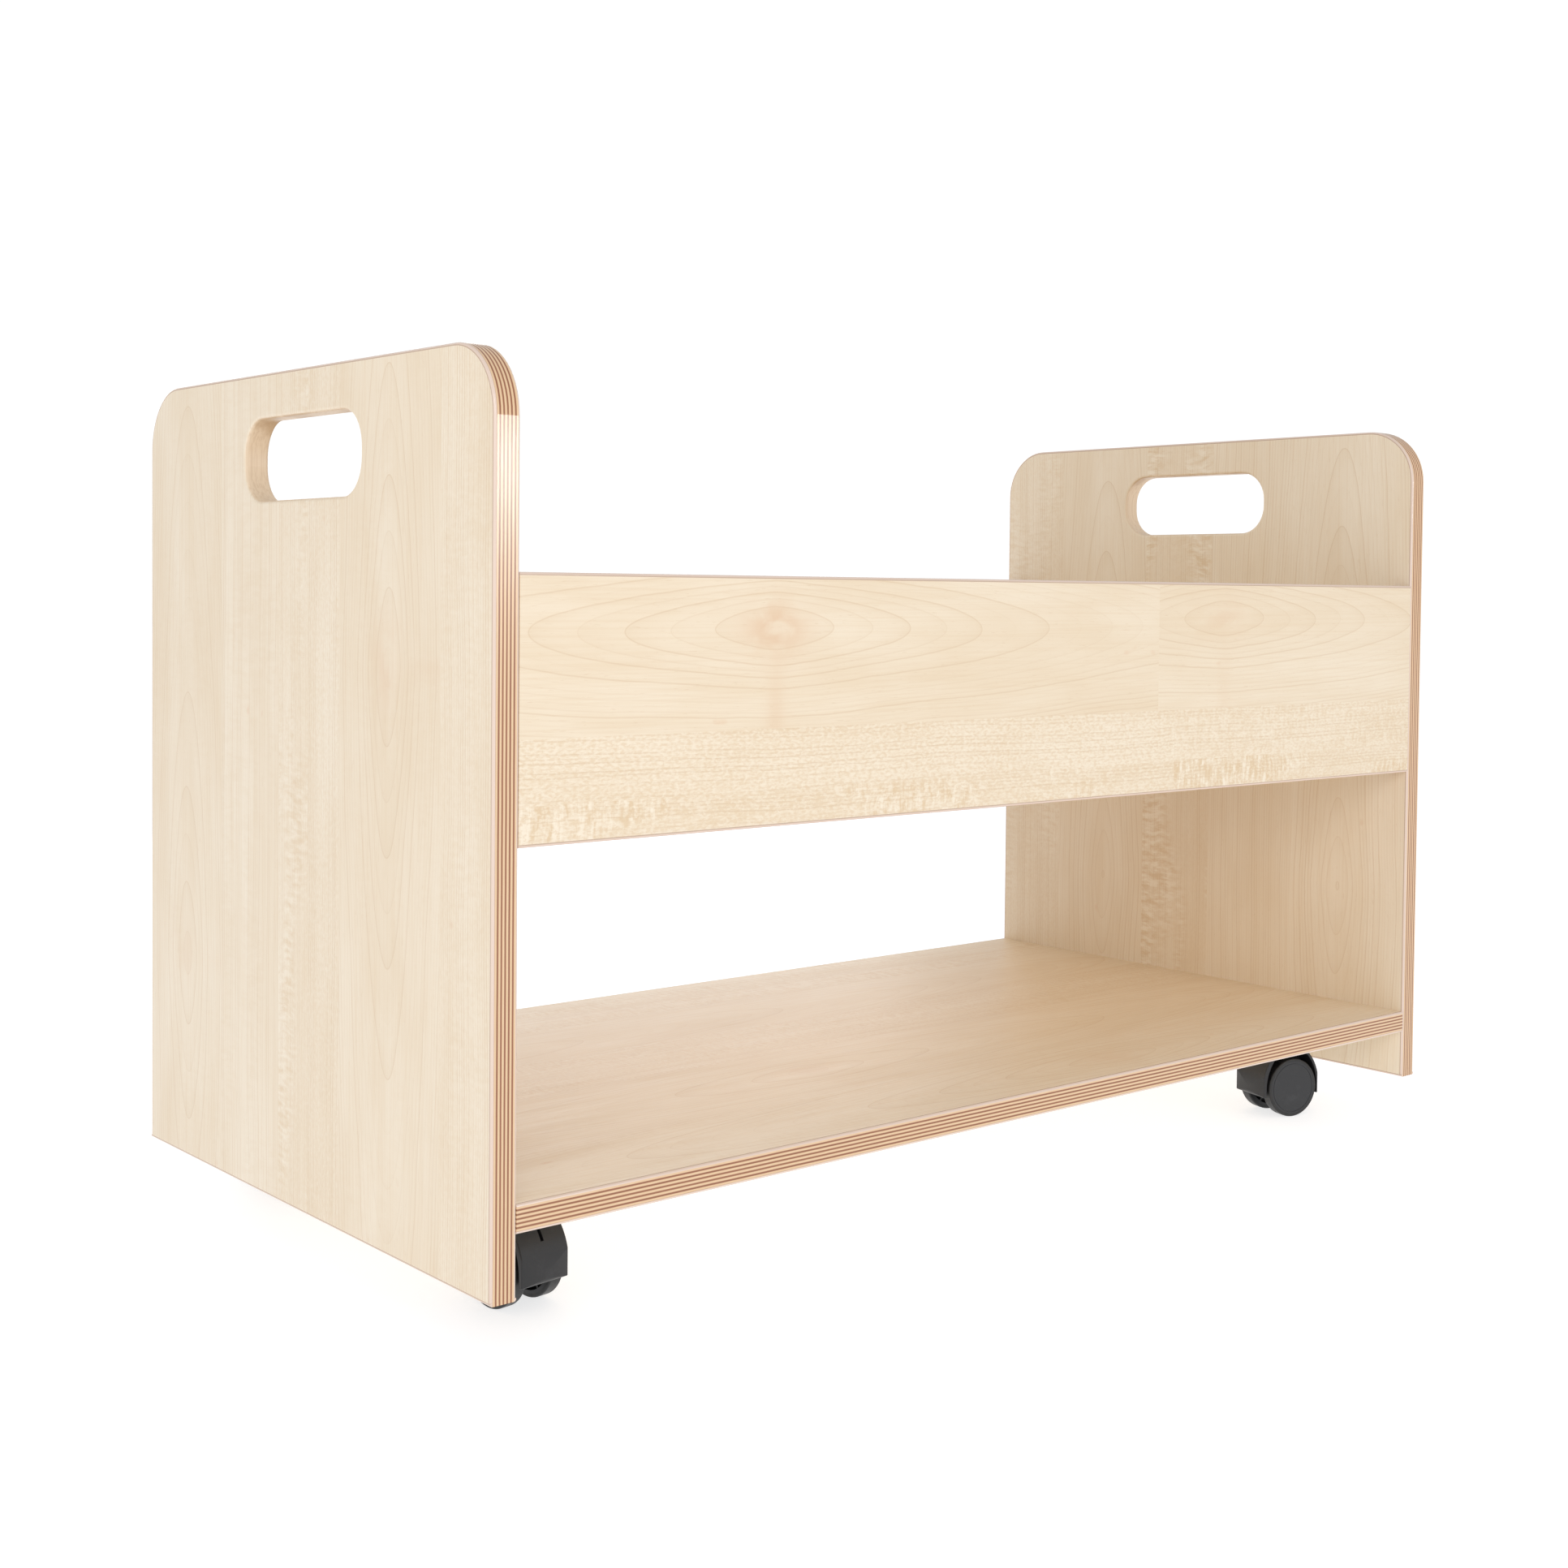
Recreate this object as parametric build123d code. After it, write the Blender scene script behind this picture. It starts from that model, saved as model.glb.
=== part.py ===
from build123d import *
import os

# Book cart: two end panels with grip slots, an open book tray between them, a bottom shelf,
# and four twin-wheel swivel casters under the shelf. Millimetres, +Z up.
# The origin is on the floor under the middle of the cart. X runs from end panel to end panel,
# and -Y is the front.

# ---- driving dimensions ----
LENGTH = 950.0              # over both end panels
DEPTH = 480.0               # front edge to rear edge
BOARD = 18.0                # thickness of every board
BAND = 2.0                  # thickness of the edge bands
BAND_ROUND = 1.8            # rounding along the outer edges of a band

PANEL_BOTTOM = 30.0         # gap between the floor and the end panels
PANEL_HEIGHT = 565.0
PANEL_CORNER = 45.0         # radius of the top corners of an end panel

SLOT_LENGTH = 164.0         # grip slot through each end panel
SLOT_HEIGHT = 56.0
SLOT_CORNER = 25.0
SLOT_BELOW_TOP = 31.0       # from the panel's top edge to the slot's top edge
SLOT_RIM = 2.5              # rounding of the slot's rim

SHELF_UNDERSIDE = 69.5      # height of the bottom shelf's underside
TRAY_BOTTOM = 297.5         # lower edge of the front and rear boards
TRAY_HEIGHT = 162.0
TRAY_FLOOR_RAISE = 12.0     # tray floor's underside above the boards' lower edge

# ---- joinery ----
DOWEL_RADIUS = 4.0
DOWEL_IN_PANEL = 12.0
DOWEL_IN_BOARD = 18.0
CAM_RADIUS = 7.5
CAM_HEIGHT = 12.5
CAM_INSET = 34.0            # from a board's end to the middle of its cam housing
CAM_SLOT = 7.4              # opening in the housing that the bolt's head enters
CAM_DRIVE_RADIUS = 1.9
CAM_DRIVE_DEPTH = 3.0
CAM_SLOT_PAST_MIDDLE = 1.0
BOLT_HEAD_SHORT = 2.0       # from the bolt head's end to the middle of the housing
BOLT_THREAD_RADIUS = 2.5
BOLT_THREAD_LENGTH = 11.0
BOLT_SHAFT_RADIUS = 3.0
BOLT_HEAD_RADIUS = 3.5
BOLT_HEAD_LENGTH = 4.0
CAP_RADIUS = 8.6
CAP_THICKNESS = 0.9
CAP_PEG_LENGTH = 2.6
SEAT_GAP = 0.03             # radial room around a glued, screwed or pushed-in piece
BORE_END_ROOM = 0.5         # room past the end of a dowel, bolt or screw

SHELF_CAM_Y = [-120.0, 0.0, 120.0]
SHELF_DOWEL_Y = [-160.0, 160.0]
BOARD_CAM_HEIGHTS = [46.0, 122.0]      # above the board's lower edge
BOARD_DOWEL_HEIGHT = 81.0
FLOOR_DOWEL_Y = [-150.0, 0.0, 150.0]
FLOOR_DOWEL_X = [-330.0, -110.0, 110.0, 330.0]

# ---- casters ----
# name, kingpin x, kingpin y, direction in which the caster leads (degrees from +X)
CASTERS = [
    ("front_left", -408.5, -180.0, -83.0),
    ("front_right", 356.5, -169.0, 165.5),
    ("rear_left", -408.5, 180.0, 160.0),
    ("rear_right", 356.5, 169.0, 28.0),
]
WHEEL_RADIUS = 25.0
WHEELS_APART = 20.0         # between the inner faces of the two wheels
WHEEL_WIDTH = 10.0
TYRE_THICKNESS = 2.6
TYRE_ROUND = 1.2
TRAIL = 15.0                # axle behind the kingpin
AXLE_RADIUS = 3.0
AXLE_REACH = 16.5           # from the middle of the caster to each end of the axle
AXLE_END_ROOM = 0.4         # room past each end of the axle, in the wheel
AXLE_PRESS = 0.02           # radial room of a pressed or riveted pin
RUNNING_GAP = 0.05          # radial clearance of the turning fits
HUB_RADIUS = 6.5
RIM_THICKNESS = 2.2
DISC_THICKNESS = 2.2
SPOKES = 6
SPOKE_THICKNESS = 1.3
SPOKE_INSET = 1.0           # from the wheel's inner face to the spokes
FACE_GROOVE_RADIUS = 20.6
FACE_GROOVE = 0.35          # width and depth of the fine ring on the wheel's face

HOOD_WIDTH = 37.8
HOOD_HALF_LENGTH = 29.7     # half axes of the elliptical dome, seen from the side
HOOD_RISE = 37.0
HOOD_WALL = 2.6
HOOD_SHIFT = 0.3            # dome's centre ahead of the axle
HOOD_BULGE = 1.6            # how far the middle of the leading wall stands out
HOOD_BOTTOM = 18.0
HOOD_NOSE_ROUND = 4.0
HOOD_LIP_ROUND = 1.0
HOOD_TAIL_CORNER = 3.0      # upright corners at the tail
HOOD_RIM_ROUND = 0.8
WEB_THICKNESS = 5.0
AXLE_BOSS_RADIUS = 8.0
AXLE_BOSS_WIDTH = 18.8
KINGPIN_BOSS_RADIUS = 6.6
KINGPIN_BOSS_BOTTOM = 21.0
KINGPIN_BOSS_TOP = 63.0
HOOD_SLOT_WIDTH = 2.4       # small blind slot high in the middle of the leading wall
HOOD_SLOT_BOTTOM = 44.0
HOOD_SLOT_TOP = 51.0
HOOD_SLOT_BACK = 21.0       # from the axle to the slot's back

PLATE_SIZE = 42.0
PLATE_THICKNESS = 2.5
PLATE_CORNER = 6.0
PLATE_HOLES = 30.0          # hole to hole
SCREW_RADIUS = 2.0
SCREW_HEAD_RADIUS = 3.9
SCREW_HEAD_LENGTH = 1.9
SCREW_LENGTH = 15.0
KINGPIN_RADIUS = 4.0
KINGPIN_BOTTOM = 24.0
KINGPIN_END_ROOM = 1.0      # room under the kingpin in the hood
FLANGE_RADIUS = 6.8
FLANGE_BOTTOM = 63.2
RING_HEIGHT = 31.0          # middle of the retaining ring
RING_OUTER = 4.7
RING_INNER = 3.3
RING_THICKNESS = 1.0
RING_GROOVE_GAP = 0.12

# ---- derived places ----
NEAR = 0.1                              # what counts as the same place when picking edges
PANEL_TOP = PANEL_BOTTOM + PANEL_HEIGHT
INNER_X = LENGTH / 2 - BOARD            # inner face of an end panel
FRONT_Y = -DEPTH / 2
TRAY_TOP = TRAY_BOTTOM + TRAY_HEIGHT
TRAY_FLOOR_BOTTOM = TRAY_BOTTOM + TRAY_FLOOR_RAISE
SHELF_MIDDLE = SHELF_UNDERSIDE + BOARD / 2
PLATE_BOTTOM = SHELF_UNDERSIDE - PLATE_THICKNESS


# ---- small helpers ----
def block(low, high):
    """A box between two opposite corners."""
    middle = [(a + b) / 2 for a, b in zip(low, high)]
    size = [b - a for a, b in zip(low, high)]
    return Pos(*middle) * Box(*size)


def rod(radius, start, end):
    """A cylinder between two points."""
    axis = Vector(*end) - Vector(*start)
    plane = Plane(origin=start, z_dir=axis.normalized())
    return plane * Cylinder(radius, axis.length, align=(Align.CENTER, Align.CENTER, Align.MIN))


def ring(outer, inner, start, end):
    """A tube between two points."""
    return rod(outer, start, end) - rod(inner, start, end)


def write(solids, node):
    """Write one sub-part, which may be several separate solids."""
    pieces = solids if isinstance(solids, list) else [solids]
    bodies = [body for piece in pieces for body in piece.solids()]
    shape = bodies[0] if len(bodies) == 1 else Compound(children=bodies)
    export_step(shape, os.path.join("parts", node + ".step"))


# ---- end panels ----
def panel_outline(inset, bottom):
    """Upright outline with rounded top corners, drawn in the YZ plane."""
    half = DEPTH / 2 - inset
    top = PANEL_TOP - inset
    corner = PANEL_CORNER - inset
    upper = FilletPolyline((-half, bottom), (-half, top), (half, top), (half, bottom), radius=corner)
    return make_face(upper + Line((half, bottom), (-half, bottom)))


def panel_plate(side, inset, bottom):
    """The outline as a board at the left (side -1) or right (side +1) end."""
    low_x = min(side * INNER_X, side * LENGTH / 2)
    return extrude(Plane.YZ.offset(low_x) * panel_outline(inset, bottom), BOARD)


def grip_slot(side):
    """The tool that cuts the grip slot."""
    middle = PANEL_TOP - SLOT_BELOW_TOP - SLOT_HEIGHT / 2
    outline = Pos(0, middle) * RectangleRounded(SLOT_LENGTH, SLOT_HEIGHT, SLOT_CORNER)
    start = side * (INNER_X + BOARD / 2) - BOARD
    return extrude(Plane.YZ.offset(start) * outline, 2 * BOARD)


def panel_core(side):
    core = panel_plate(side, BAND, PANEL_BOTTOM + BAND) - grip_slot(side)
    slot_low = PANEL_TOP - SLOT_BELOW_TOP - SLOT_HEIGHT
    rim = [
        edge
        for edge in core.edges()
        if abs(edge.center().Y) < SLOT_LENGTH / 2 + NEAR
        and slot_low - NEAR < edge.center().Z < slot_low + SLOT_HEIGHT + NEAR
        and abs(abs(edge.center().X) - INNER_X - BOARD / 2) > BOARD / 2 - NEAR
    ]
    core = fillet(rim, SLOT_RIM)
    for place in panel_dowel_places(side):
        core -= rod(DOWEL_RADIUS + SEAT_GAP, place, along_x(place, side * (DOWEL_IN_PANEL + BORE_END_ROOM)))
    for place in panel_bolt_places(side):
        end = along_x(place, side * (BOLT_THREAD_LENGTH + BORE_END_ROOM))
        core -= rod(BOLT_THREAD_RADIUS + SEAT_GAP, place, end)
    return core


def panel_edge_band(side):
    """One strip up the front edge, over the top and down the rear edge."""
    bottom = PANEL_BOTTOM + BAND
    plate = panel_plate(side, 0, bottom)
    outer_edges = [
        edge
        for face in plate.faces().filter_by(Axis.X)
        for edge in face.edges()
        if edge.center().Z > bottom + NEAR
    ]
    return fillet(outer_edges, BAND_ROUND) - panel_plate(side, BAND, bottom - NEAR)


def panel_foot_band(side):
    low_x = min(side * INNER_X, side * LENGTH / 2)
    strip = block((low_x, FRONT_Y, PANEL_BOTTOM), (low_x + BOARD, -FRONT_Y, PANEL_BOTTOM + BAND))
    return round_band(strip, Axis.Z, 0, Axis.Y)


def round_band(strip, facing, which, along):
    """Round the two long edges of a strip's outer face."""
    outer_face = strip.faces().sort_by(facing)[which]
    return fillet(outer_face.edges().filter_by(along), BAND_ROUND)


# ---- places of the joinery ----
def along_x(point, step):
    """The point moved by a step along X."""
    return (point[0] + step, point[1], point[2])


def board_y(front):
    """Middle of the front (front -1) or rear (front +1) tray board."""
    return front * (DEPTH / 2 - BOARD / 2)


def shelf_dowel_places(side):
    return [(side * INNER_X, y, SHELF_MIDDLE) for y in SHELF_DOWEL_Y]


def board_dowel_places(side, front):
    return [(side * INNER_X, board_y(front), TRAY_BOTTOM + BOARD_DOWEL_HEIGHT)]


def floor_end_dowel_places(side):
    return [(side * INNER_X, y, TRAY_FLOOR_BOTTOM + BOARD / 2) for y in FLOOR_DOWEL_Y]


def floor_side_dowel_places(front):
    return [(x, front * (DEPTH / 2 - BOARD), TRAY_FLOOR_BOTTOM + BOARD / 2) for x in FLOOR_DOWEL_X]


def shelf_cam_places(side):
    return [(side * INNER_X, y, SHELF_MIDDLE) for y in SHELF_CAM_Y]


def board_cam_places(side, front):
    return [(side * INNER_X, board_y(front), TRAY_BOTTOM + up) for up in BOARD_CAM_HEIGHTS]


def panel_dowel_places(side):
    boards = [place for front in (-1, 1) for place in board_dowel_places(side, front)]
    return shelf_dowel_places(side) + boards + floor_end_dowel_places(side)


def panel_bolt_places(side):
    boards = [place for front in (-1, 1) for place in board_cam_places(side, front)]
    return shelf_cam_places(side) + boards


# ---- joinery pieces ----
def end_dowel(place, side):
    """A dowel between an end panel and a board."""
    return rod(DOWEL_RADIUS, along_x(place, -side * DOWEL_IN_BOARD), along_x(place, side * DOWEL_IN_PANEL))


def end_dowel_bore(place, side):
    return rod(DOWEL_RADIUS + SEAT_GAP, place, along_x(place, -side * (DOWEL_IN_BOARD + BORE_END_ROOM)))


def side_dowel(place, front):
    """A dowel between the tray floor and a tray board."""
    x, y, z = place
    return rod(DOWEL_RADIUS, (x, y - front * DOWEL_IN_BOARD, z), (x, y + front * DOWEL_IN_PANEL, z))


def side_dowel_bore(place, front, depth):
    x, y, z = place
    return rod(DOWEL_RADIUS + SEAT_GAP, place, (x, y + front * depth, z))


def cam_faces(place, side, opens):
    """Start and end of a cam housing: from the board's face inwards. opens is the face's direction."""
    middle = Vector(*along_x(place, -side * CAM_INSET))
    mouth = middle + Vector(*opens) * (BOARD / 2)
    return mouth, mouth - Vector(*opens) * CAM_HEIGHT


def cam_housing(place, side, opens):
    mouth, inner = cam_faces(place, side, opens)
    housing = rod(CAM_RADIUS, tuple(mouth), tuple(inner))
    housing -= rod(CAM_SLOT / 2, along_x(place, -side * (CAM_INSET - CAM_SLOT_PAST_MIDDLE)), place)
    drive_end = mouth - Vector(*opens) * CAM_DRIVE_DEPTH
    return housing - rod(CAM_DRIVE_RADIUS, tuple(mouth), tuple(drive_end))


def cam_bore(place, side, opens):
    """Housing pocket and bolt bore in a board."""
    mouth, inner = cam_faces(place, side, opens)
    pocket = rod(CAM_RADIUS + SEAT_GAP, tuple(mouth), tuple(inner))
    return pocket + rod(BOLT_HEAD_RADIUS + SEAT_GAP, place, along_x(place, -side * CAM_INSET))


def cam_bolt(place, side):
    """Threaded into the end panel, with its head inside the cam housing."""
    head_reach = CAM_INSET - BOLT_HEAD_SHORT
    head_end = along_x(place, -side * head_reach)
    head_start = along_x(place, -side * (head_reach - BOLT_HEAD_LENGTH))
    thread = rod(BOLT_THREAD_RADIUS, place, along_x(place, side * BOLT_THREAD_LENGTH))
    shaft = rod(BOLT_SHAFT_RADIUS, head_start, place)
    return thread + shaft + rod(BOLT_HEAD_RADIUS, head_end, head_start)


def cam_cap(place, side, opens):
    """Disc that covers a cam housing, with a peg in its drive recess."""
    mouth, _ = cam_faces(place, side, opens)
    out = Vector(*opens)
    disc = rod(CAP_RADIUS, tuple(mouth), tuple(mouth + out * CAP_THICKNESS))
    disc = fillet(disc.edges().sort_by(lambda edge: edge.center().dot(out))[-1], CAP_THICKNESS / 2)
    return disc + rod(CAM_DRIVE_RADIUS - SEAT_GAP, tuple(mouth), tuple(mouth - out * CAP_PEG_LENGTH))


DOWN = (0, 0, -1)


def inward(front):
    """Direction in which a tray board's inner face looks."""
    return (0, -front, 0)


# ---- boards ----
def shelf_core():
    low = (-INNER_X, FRONT_Y + BAND, SHELF_UNDERSIDE)
    core = block(low, (INNER_X, -FRONT_Y - BAND, SHELF_UNDERSIDE + BOARD))
    for side in (-1, 1):
        for place in shelf_dowel_places(side):
            core -= end_dowel_bore(place, side)
        for place in shelf_cam_places(side):
            core -= cam_bore(place, side, DOWN)
    for place in screw_places():
        top = PLATE_BOTTOM + SCREW_LENGTH + BORE_END_ROOM
        core -= rod(SCREW_RADIUS + SEAT_GAP, (*place, SHELF_UNDERSIDE), (*place, top))
    return core


def shelf_band(front):
    outer = front * DEPTH / 2
    inner = front * (DEPTH / 2 - BAND)
    low = (-INNER_X, min(outer, inner), SHELF_UNDERSIDE)
    strip = block(low, (INNER_X, max(outer, inner), SHELF_UNDERSIDE + BOARD))
    return round_band(strip, Axis.Y, 0 if front < 0 else -1, Axis.X)


def tray_board(front):
    middle = board_y(front)
    low = (-INNER_X, middle - BOARD / 2, TRAY_BOTTOM + BAND)
    board = block(low, (INNER_X, middle + BOARD / 2, TRAY_TOP - BAND))
    for side in (-1, 1):
        for place in board_dowel_places(side, front):
            board -= end_dowel_bore(place, side)
        for place in board_cam_places(side, front):
            board -= cam_bore(place, side, inward(front))
    for place in floor_side_dowel_places(front):
        board -= side_dowel_bore(place, front, DOWEL_IN_PANEL + BORE_END_ROOM)
    return board


def tray_board_band(front, top):
    """Band on the top edge (top +1) or the lower edge (top -1) of a tray board."""
    middle = board_y(front)
    low_z = TRAY_TOP - BAND if top > 0 else TRAY_BOTTOM
    low = (-INNER_X, middle - BOARD / 2, low_z)
    strip = block(low, (INNER_X, middle + BOARD / 2, low_z + BAND))
    return round_band(strip, Axis.Z, -1 if top > 0 else 0, Axis.X)


def tray_floor():
    half = DEPTH / 2 - BOARD
    floor = block((-INNER_X, -half, TRAY_FLOOR_BOTTOM), (INNER_X, half, TRAY_FLOOR_BOTTOM + BOARD))
    for side in (-1, 1):
        for place in floor_end_dowel_places(side):
            floor -= end_dowel_bore(place, side)
    for front in (-1, 1):
        for place in floor_side_dowel_places(front):
            floor -= side_dowel_bore(place, -front, DOWEL_IN_BOARD + BORE_END_ROOM)
    return floor


# ---- caster, drawn with its kingpin on the Z axis and leading towards +X ----
AXLE_X = -TRAIL
AXLE_Z = WHEEL_RADIUS


def across(radius, y0, y1, x=AXLE_X, z=AXLE_Z):
    """A cylinder along Y, by default around the axle."""
    return rod(radius, (x, y0, z), (x, y1, z))


def hood_profile(inset, stretch):
    """Side view of the hood: an elliptical dome over the wheels with short upright skirts."""
    centre_x = AXLE_X + HOOD_SHIFT + stretch / 2
    half = HOOD_HALF_LENGTH - inset + stretch / 2
    dome = EllipticalCenterArc((centre_x, AXLE_Z), half, HOOD_RISE - inset, 0, arc_size=180)
    bottom = HOOD_BOTTOM - inset
    skirt = Polyline(
        (centre_x - half, AXLE_Z),
        (centre_x - half, bottom),
        (centre_x + half, bottom),
        (centre_x + half, AXLE_Z),
    )
    return make_face(dome + skirt)


def hood_prism(inset, stretch):
    return extrude(Plane.XZ.offset(-HOOD_WIDTH / 2) * hood_profile(inset, stretch), HOOD_WIDTH)


def hood_plan():
    """Outline of the hood from above: straight sides and a leading wall that bulges a little."""
    half = HOOD_WIDTH / 2
    nose = AXLE_X + HOOD_SHIFT + HOOD_HALF_LENGTH
    tail = AXLE_X + HOOD_SHIFT - HOOD_HALF_LENGTH
    wall = ThreePointArc((nose, -half), (nose + HOOD_BULGE, 0), (nose, half))
    sides = Polyline((nose, half), (tail, half), (tail, -half), (nose, -half))
    column = extrude(make_face(wall + sides), HOOD_BOTTOM + 2 * HOOD_RISE)
    uprights = column.edges().filter_by(Axis.Z).sort_by(Axis.X)
    column = fillet(uprights[:2], HOOD_TAIL_CORNER)
    return fillet(column.edges().filter_by(Axis.Z).sort_by(Axis.X)[-2:], HOOD_RIM_ROUND)


def hood_shell():
    """The outside of the hood, still solid."""
    shell = hood_prism(0, HOOD_BULGE)
    bottom_edges = shell.faces().sort_by(Axis.Z)[0].edges().filter_by(Axis.Y).sort_by(Axis.X)
    shell = fillet(bottom_edges[-1], HOOD_NOSE_ROUND)
    lip = shell.faces().sort_by(Axis.Z)[0].edges().filter_by(Axis.Y).sort_by(Axis.X)[0]
    shell = fillet(lip, HOOD_LIP_ROUND)
    rims = [
        edge
        for face in shell.faces().filter_by(Axis.Y)
        for edge in face.edges()
        if edge.center().Z > HOOD_BOTTOM + NEAR
    ]
    return fillet(rims, HOOD_RIM_ROUND) & hood_plan()


def caster_hood():
    half = HOOD_WIDTH / 2
    hood = hood_shell() - hood_prism(HOOD_WALL, 0)
    web_half = WEB_THICKNESS / 2
    reach = 2 * HOOD_HALF_LENGTH
    slab = block((-reach, -web_half, HOOD_BOTTOM), (reach, web_half, HOOD_BOTTOM + 2 * HOOD_RISE))
    web = hood_prism(HOOD_WALL / 2, 0) & slab
    boss = rod(KINGPIN_BOSS_RADIUS, (0, 0, KINGPIN_BOSS_BOTTOM), (0, 0, KINGPIN_BOSS_TOP))
    axle_boss = across(AXLE_BOSS_RADIUS, -AXLE_BOSS_WIDTH / 2, AXLE_BOSS_WIDTH / 2)
    hood = hood + web + axle_boss + boss
    slot_half = HOOD_SLOT_WIDTH / 2
    slot_low = (AXLE_X + HOOD_SLOT_BACK, -slot_half, HOOD_SLOT_BOTTOM)
    hood -= block(slot_low, (AXLE_X + 2 * HOOD_SLOT_BACK, slot_half, HOOD_SLOT_TOP))
    hood -= across(AXLE_RADIUS + AXLE_PRESS, -half, half)
    pin_bore_low = (0, 0, KINGPIN_BOTTOM - KINGPIN_END_ROOM)
    hood -= rod(KINGPIN_RADIUS + RUNNING_GAP, pin_bore_low, (0, 0, SHELF_UNDERSIDE))
    ring_low = RING_HEIGHT - RING_THICKNESS / 2 - RING_GROOVE_GAP
    ring_high = RING_HEIGHT + RING_THICKNESS / 2 + RING_GROOVE_GAP
    return hood - rod(RING_OUTER + RING_GROOVE_GAP, (0, 0, ring_low), (0, 0, ring_high))


def caster_plate():
    outline = RectangleRounded(PLATE_SIZE, PLATE_SIZE, PLATE_CORNER)
    plate = extrude(Pos(0, 0, PLATE_BOTTOM) * outline, PLATE_THICKNESS)
    plate -= rod(KINGPIN_RADIUS + AXLE_PRESS, (0, 0, PLATE_BOTTOM), (0, 0, SHELF_UNDERSIDE))
    half = PLATE_HOLES / 2
    for x in (-half, half):
        for y in (-half, half):
            plate -= Pos(x, y, 0) * countersunk(SEAT_GAP, SHELF_UNDERSIDE)
    return plate


def countersunk(room, top):
    """Countersunk screw shape from the plate's underside up to a height."""
    cone_base = SCREW_HEAD_RADIUS + room
    stem = SCREW_RADIUS + room
    head = Pos(0, 0, PLATE_BOTTOM + SCREW_HEAD_LENGTH / 2) * Cone(cone_base, stem, SCREW_HEAD_LENGTH)
    return head + rod(stem, (0, 0, PLATE_BOTTOM + SCREW_HEAD_LENGTH / 2), (0, 0, top))


def caster_kingpin():
    """Headless pin, riveted into the plate, with a flange and a groove for its ring."""
    pin = rod(KINGPIN_RADIUS, (0, 0, KINGPIN_BOTTOM), (0, 0, SHELF_UNDERSIDE))
    pin += rod(FLANGE_RADIUS, (0, 0, FLANGE_BOTTOM), (0, 0, PLATE_BOTTOM))
    low = RING_HEIGHT - RING_THICKNESS / 2
    high = RING_HEIGHT + RING_THICKNESS / 2
    groove = ring(RING_OUTER, RING_INNER, (0, 0, low), (0, 0, high))
    ring_ends = ((0, 0, low + SEAT_GAP), (0, 0, high - SEAT_GAP))
    return [pin - groove, ring(RING_OUTER, RING_INNER + SEAT_GAP, *ring_ends)]


def caster_axle():
    return across(AXLE_RADIUS, -AXLE_REACH, AXLE_REACH)


def wheel_disc(hand):
    """Moulded wheel on the left (hand +1) or right (hand -1) of the hood, closed on its outer face."""
    inner = hand * WHEELS_APART / 2
    outer = inner + hand * WHEEL_WIDTH
    disc_inner = outer - hand * DISC_THICKNESS
    radius = WHEEL_RADIUS - TYRE_THICKNESS
    disc = across(radius, inner, outer)
    disc -= across(radius - RIM_THICKNESS, inner, disc_inner)
    disc += across(HUB_RADIUS, inner, disc_inner)
    spokes = None
    for index in range(SPOKES):
        low = (0, min(inner, disc_inner), -SPOKE_THICKNESS / 2)
        spoke = block(low, (radius - RIM_THICKNESS / 2, max(inner, disc_inner), SPOKE_THICKNESS / 2))
        spoke = Pos(AXLE_X, 0, AXLE_Z) * Rot(0, index * 360 / SPOKES, 0) * spoke
        spokes = spoke if spokes is None else spokes + spoke
    spokes -= across(radius, inner, inner + hand * SPOKE_INSET)
    disc += spokes
    disc -= across(AXLE_RADIUS + RUNNING_GAP, inner, hand * (AXLE_REACH + AXLE_END_ROOM))
    groove_low = outer - hand * FACE_GROOVE
    groove = across(FACE_GROOVE_RADIUS + FACE_GROOVE, groove_low, outer)
    return disc - (groove - across(FACE_GROOVE_RADIUS, groove_low, outer))


def wheel_tyre(hand):
    inner = hand * WHEELS_APART / 2
    outer = inner + hand * WHEEL_WIDTH
    tyre = across(WHEEL_RADIUS, inner, outer)
    tyre = fillet(tyre.edges().filter_by(GeomType.CIRCLE), TYRE_ROUND)
    return tyre - across(WHEEL_RADIUS - TYRE_THICKNESS, inner - hand, outer + hand)


def screw_places():
    half = PLATE_HOLES / 2
    return [
        (x + sx * half, y + sy * half)
        for _, x, y, _ in CASTERS
        for sx in (-1, 1)
        for sy in (-1, 1)
    ]


# ---- write every sub-part ----
os.makedirs("parts", exist_ok=True)

for end, side in (("left", -1), ("right", 1)):
    write(panel_core(side), end + "_end_panel")
    write(panel_edge_band(side), end + "_end_panel_edge_band")
    write(panel_foot_band(side), end + "_end_panel_foot_band")

write(shelf_core(), "bottom_shelf")
write(shelf_band(-1), "bottom_shelf_front_band")
write(shelf_band(1), "bottom_shelf_rear_band")

for name, front in (("front", -1), ("rear", 1)):
    write(tray_board(front), "tray_" + name + "_board")
    write(tray_board_band(front, 1), "tray_" + name + "_board_top_band")
    write(tray_board_band(front, -1), "tray_" + name + "_board_lower_band")
write(tray_floor(), "tray_floor")

dowels = []
cams = []
for side in (-1, 1):
    dowels += [end_dowel(place, side) for place in panel_dowel_places(side)]
    cams += [(place, side, DOWN) for place in shelf_cam_places(side)]
    for front in (-1, 1):
        cams += [(place, side, inward(front)) for place in board_cam_places(side, front)]
for front in (-1, 1):
    dowels += [side_dowel(place, front) for place in floor_side_dowel_places(front)]
write(dowels, "wooden_dowels")
write([cam_housing(*cam) for cam in cams], "cam_housings")
write([cam_bolt(place, side) for place, side, _ in cams], "cam_bolts")
write([cam_cap(*cam) for cam in cams], "cam_cover_caps")
screw = countersunk(0, PLATE_BOTTOM + SCREW_LENGTH)
write([Pos(x, y, 0) * screw for x, y in screw_places()], "caster_screws")

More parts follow.
